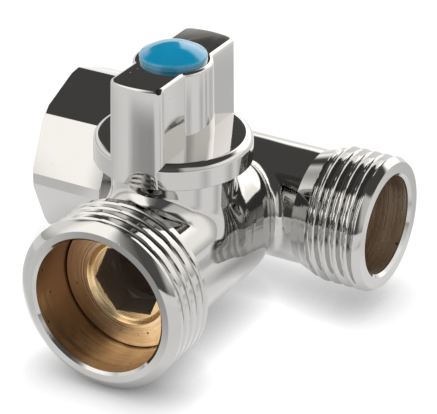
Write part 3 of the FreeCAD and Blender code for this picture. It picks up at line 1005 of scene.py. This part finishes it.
for piece, body, node_name, slot_name in (
        (valve_body(), "valve", "valve_body", "chrome_plated_brass"),
        (seat_retainer(), "valve", "seat_retainer", "bare_brass"),
        (valve_ball(), "quarter_turn", "ball", "chrome_plated_brass"),
        (handle(), "quarter_turn", "handle", "chrome_plated_zinc"),
        (index_cap(), "quarter_turn", "index_cap", "blue_plastic")):
    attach(piece, body)
    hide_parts(node_name)

for node_name, finish in (("inner_seat", dark_ptfe), ("outer_seat", dark_ptfe), ("thrust_washer", white_ptfe),
                          ("stem", bore_brass), ("lower_stem_seal", black_rubber),
                          ("upper_stem_seal", black_rubber), ("handle_screw", zinc)):
    slots = frame["nodes"][node_name].data.materials
    slots.clear()
    slots.append(finish)


# Studio: a white floor, white screens in a dim room, and a lamp


def compass_ramp(tree, way, stops, top):
    """A value that changes with the compass direction of a vector, as a share of its greatest value."""
    x, y, _ = node(tree, "ShaderNodeSeparateXYZ", {"Vector": way}).outputs
    angle = node(tree, "ShaderNodeMath", {0: x, 1: y}, operation="ARCTAN2")
    compass = node(tree, "ShaderNodeMapRange", {"Value": angle, "From Min": -math.pi, "From Max": math.pi})
    ramp = node(tree, "ShaderNodeValToRGB", {"Fac": compass})
    points = ramp.color_ramp.elements
    while len(points) < len(stops):
        points.new(0.5)
    for point, (degrees, value) in zip(points, stops):
        point.position = degrees / 360 + 0.5
        point.color = (value / top, value / top, value / top, 1)
    return ramp


def floor_painted_light(tree):
    """White on the sheet and far away, and painted light and shade between, by compass direction, for the chrome
    to reflect.
    """
    place = node(tree, "ShaderNodeTexCoord").outputs["Object"]
    sheet = node(tree, "ShaderNodeMapping", {
        "Vector": place, "Location": [k * MM for k in sheet_centre], "Scale": [k * MM for k in sheet_half],
        "Rotation": (0, 0, math.radians(view_turn))}, vector_type="TEXTURE")
    either_way = node(tree, "ShaderNodeVectorMath", {0: sheet}, operation="ABSOLUTE")
    across, along, _ = node(tree, "ShaderNodeSeparateXYZ", {"Vector": either_way}).outputs
    out = node(tree, "ShaderNodeMath", {0: across, 1: along}, operation="MAXIMUM")
    off_sheet = node(tree, "ShaderNodeMapRange", {"Value": out, "From Min": 1.0, "From Max": sheet_fade},
                     interpolation_type="SMOOTHSTEP")
    from_stem = node(tree, "ShaderNodeVectorMath", {0: place, 1: STEM * MM}, operation="SUBTRACT")
    away = node(tree, "ShaderNodeVectorMath", {0: from_stem}, operation="LENGTH")
    near = node(tree, "ShaderNodeMapRange", {
        "Value": away, "From Min": painted_floor_light_reach[0] * MM, "From Max": painted_floor_light_reach[1] * MM, "To Min": 1.0,
        "To Max": 0.0}, interpolation_type="SMOOTHSTEP")
    painted_light_share = node(tree, "ShaderNodeMath", {0: off_sheet, 1: near}, operation="MULTIPLY")
    # Painted light and shade on the floor round the sheet, lighter or darker by compass direction from the stem
    painted_floor_tone = compass_ramp(tree, from_stem, table, 1.0)
    return node(tree, "ShaderNodeMix", {"Factor": painted_light_share, "A": colour("#ffffff"), "B": painted_floor_tone},
                data_type="RGBA")


def floor_paint():
    """White matt paint with painted light and shade round the sheet, and an even light of its own, shaded where
    the part comes near.
    """
    made = material("floor_white")
    tree = made.node_tree
    tone = floor_painted_light(tree)
    dimmed = node(tree, "ShaderNodeVectorMath", {0: tone, "Scale": floor_matt}, operation="SCALE")
    matt = node(tree, "ShaderNodeBsdfDiffuse", {"Color": dimmed})
    open_sky = node(tree, "ShaderNodeAmbientOcclusion", {"Distance": shadow_reach * MM},
                    samples=shadow_samples).outputs["AO"]
    shade = node(tree, "ShaderNodeMath", {0: open_sky, 1: shadow_depth}, operation="POWER")
    path = node(tree, "ShaderNodeLightPath").outputs
    seen = node(tree, "ShaderNodeMath", {0: path["Is Camera Ray"], 1: path["Is Glossy Ray"]}, operation="ADD")
    seen = node(tree, "ShaderNodeMath", {0: seen, 1: path["Is Transmission Ray"]}, operation="ADD",
                use_clamp=True)
    shown = node(tree, "ShaderNodeMath", {0: seen, 1: shade}, operation="MULTIPLY")
    glow = node(tree, "ShaderNodeMath", {0: shown, 1: floor_glow}, operation="MULTIPLY")
    light = node(tree, "ShaderNodeEmission", {"Color": tone, "Strength": glow})
    both = node(tree, "ShaderNodeAddShader", {0: matt, 1: light})
    node(tree, "ShaderNodeOutputMaterial", {"Surface": both})
    return made


def floor():
    """A wide floor just under the part."""
    corners = [(-floor_half, -floor_half), (floor_half, -floor_half), (floor_half, floor_half),
               (-floor_half, floor_half)]
    return solid("floor", [(x, y, floor_level) for x, y in corners], [[0, 1, 2, 3]], floor_paint())


def studio():
    """A dim room with white screens behind the table and on both sides, open towards the camera."""
    world = bpy.data.worlds.new("studio")
    world.use_nodes = True
    tree = world.node_tree
    tree.nodes.clear()
    way = node(tree, "ShaderNodeTexCoord").outputs["Object"]
    rise = node(tree, "ShaderNodeSeparateXYZ", {"Vector": way}).outputs["Z"]
    lift = node(tree, "ShaderNodeMath", {0: rise}, operation="ARCSINE")
    top = node(tree, "ShaderNodeMath", {0: compass_ramp(tree, way, screen_tops, highest),
                                        1: math.radians(highest)}, operation="MULTIPLY")
    above = node(tree, "ShaderNodeMath", {0: lift, 1: top}, operation="SUBTRACT")
    soft = math.radians(screen_edge / 2)
    shown = node(tree, "ShaderNodeMapRange", {"Value": above, "From Min": -soft, "From Max": soft,
                                              "To Min": brightest, "To Max": 0.0},
                 interpolation_type="SMOOTHSTEP")
    low = node(tree, "ShaderNodeMapRange", {"Value": lift, "From Max": math.radians(horizon_fade),
                                            "To Min": horizon_share},
               interpolation_type="SMOOTHSTEP")
    shown = node(tree, "ShaderNodeMath", {0: shown, 1: low}, operation="MULTIPLY")
    strength = node(tree, "ShaderNodeMath", {0: shown, 1: compass_ramp(tree, way, screens, brightest),
                                             2: room_light}, operation="MULTIPLY_ADD")
    light = node(tree, "ShaderNodeBackground", {"Color": colour(screen_tint), "Strength": strength})
    node(tree, "ShaderNodeOutputWorld", {"Surface": light})
    return world


def top_light():
    """A large soft lamp above the table. It lights what is not metal, and mirrors don't show it."""
    lamp = bpy.data.lights.new("top_light", "AREA")
    lamp.size = top_light_size
    lamp.energy = top_light_level * (math.pi * top_light_height) ** 2
    holder = bpy.data.objects.new("top_light", lamp)
    holder.location = Vector((0, 0, top_light_height)) + CROSSING * MM
    holder.visible_glossy = False
    bpy.context.scene.collection.objects.link(holder)


def photograph_camera():
    """The camera at the photograph's place, with its lens."""
    turn, down, roll = (math.radians(a) for a in (view_turn, view_down, view_roll))
    back = Vector((math.sin(turn) * math.cos(down), -math.cos(turn) * math.cos(down), math.sin(down)))
    level = Vector((math.cos(turn), math.sin(turn), 0))
    rise = back.cross(level)
    right = math.cos(roll) * level + math.sin(roll) * rise
    up = -math.sin(roll) * level + math.cos(roll) * rise
    lens = bpy.data.cameras.new("camera")
    lens.sensor_width = sensor_width
    lens.sensor_fit = "HORIZONTAL"
    lens.lens = view_focal_px * sensor_width / image_width
    lens.clip_start = nearest_seen * MM
    holder = bpy.data.objects.new("camera", lens)
    turned_to = Matrix((right, up, back)).transposed().to_4x4()
    holder.matrix_world = Matrix.Translation(Vector(view_place) * MM) @ turned_to
    bpy.context.scene.collection.objects.link(holder)
    return holder


floor()
bpy.context.scene.world = studio()
top_light()
bpy.context.scene.camera = photograph_camera()
bpy.context.scene.view_settings.view_transform = "Standard"
